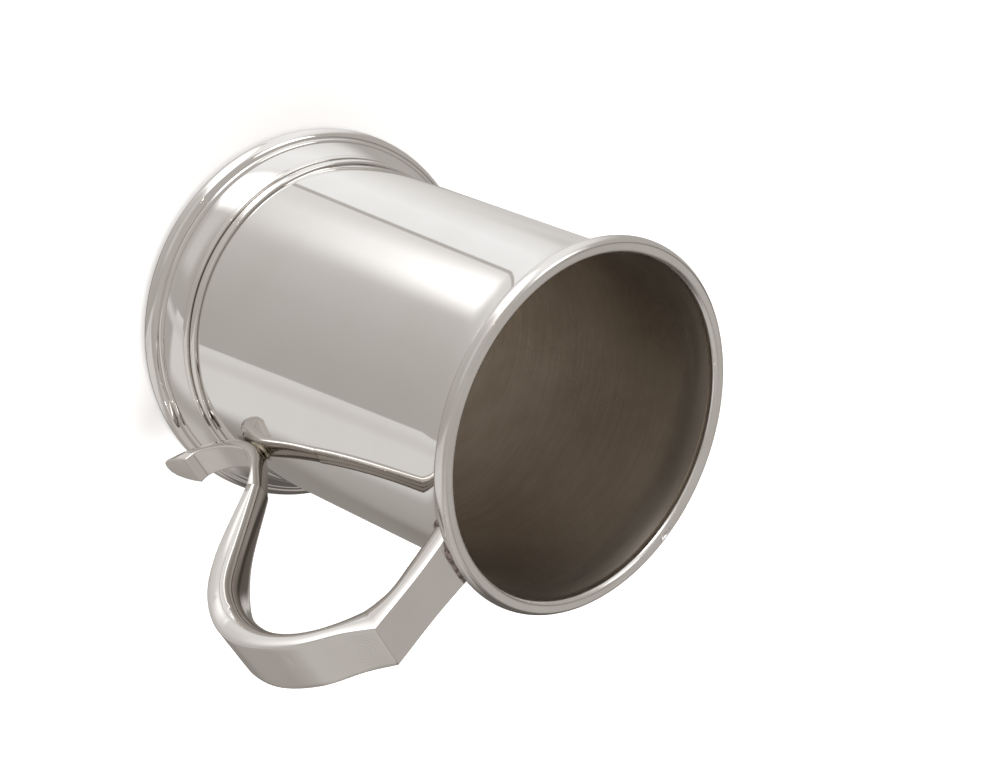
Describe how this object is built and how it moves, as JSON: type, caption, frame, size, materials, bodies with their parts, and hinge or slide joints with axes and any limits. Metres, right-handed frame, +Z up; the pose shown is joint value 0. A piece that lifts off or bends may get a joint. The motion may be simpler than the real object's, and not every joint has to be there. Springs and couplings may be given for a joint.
{
  "type": "silver tankard",
  "caption": "Open silver tankard with a tapered barrel, rounded lip, moulded spreading foot and a hollow D-section scroll handle with a thumb ridge and a flicked tail.",
  "frame": {"origin": "on the table, under the middle of the outline of barrel, foot and handle", "axes": "+Z up out of the open mouth, +X towards the handle"},
  "size_m": [0.1457, 0.1128, 0.1211],
  "materials": {
    "polished_silver": "hand-polished silver with fine wear",
    "satin_silver": "dull satin silver of the inside",
    "cast_silver": "polished cast silver"
  },
  "bodies": {
    "root": {"barrel": "polished_silver", "lip_wire": "polished_silver", "bottom_plate": "satin_silver", "foot_skirt": "polished_silver", "foot_wire": "polished_silver", "astragal": "polished_silver", "handle_channel": "polished_silver", "thumb_strap": "polished_silver", "back_strap": "polished_silver", "tail": "cast_silver", "tail_plate": "cast_silver"}
  },
  "joints": []
}
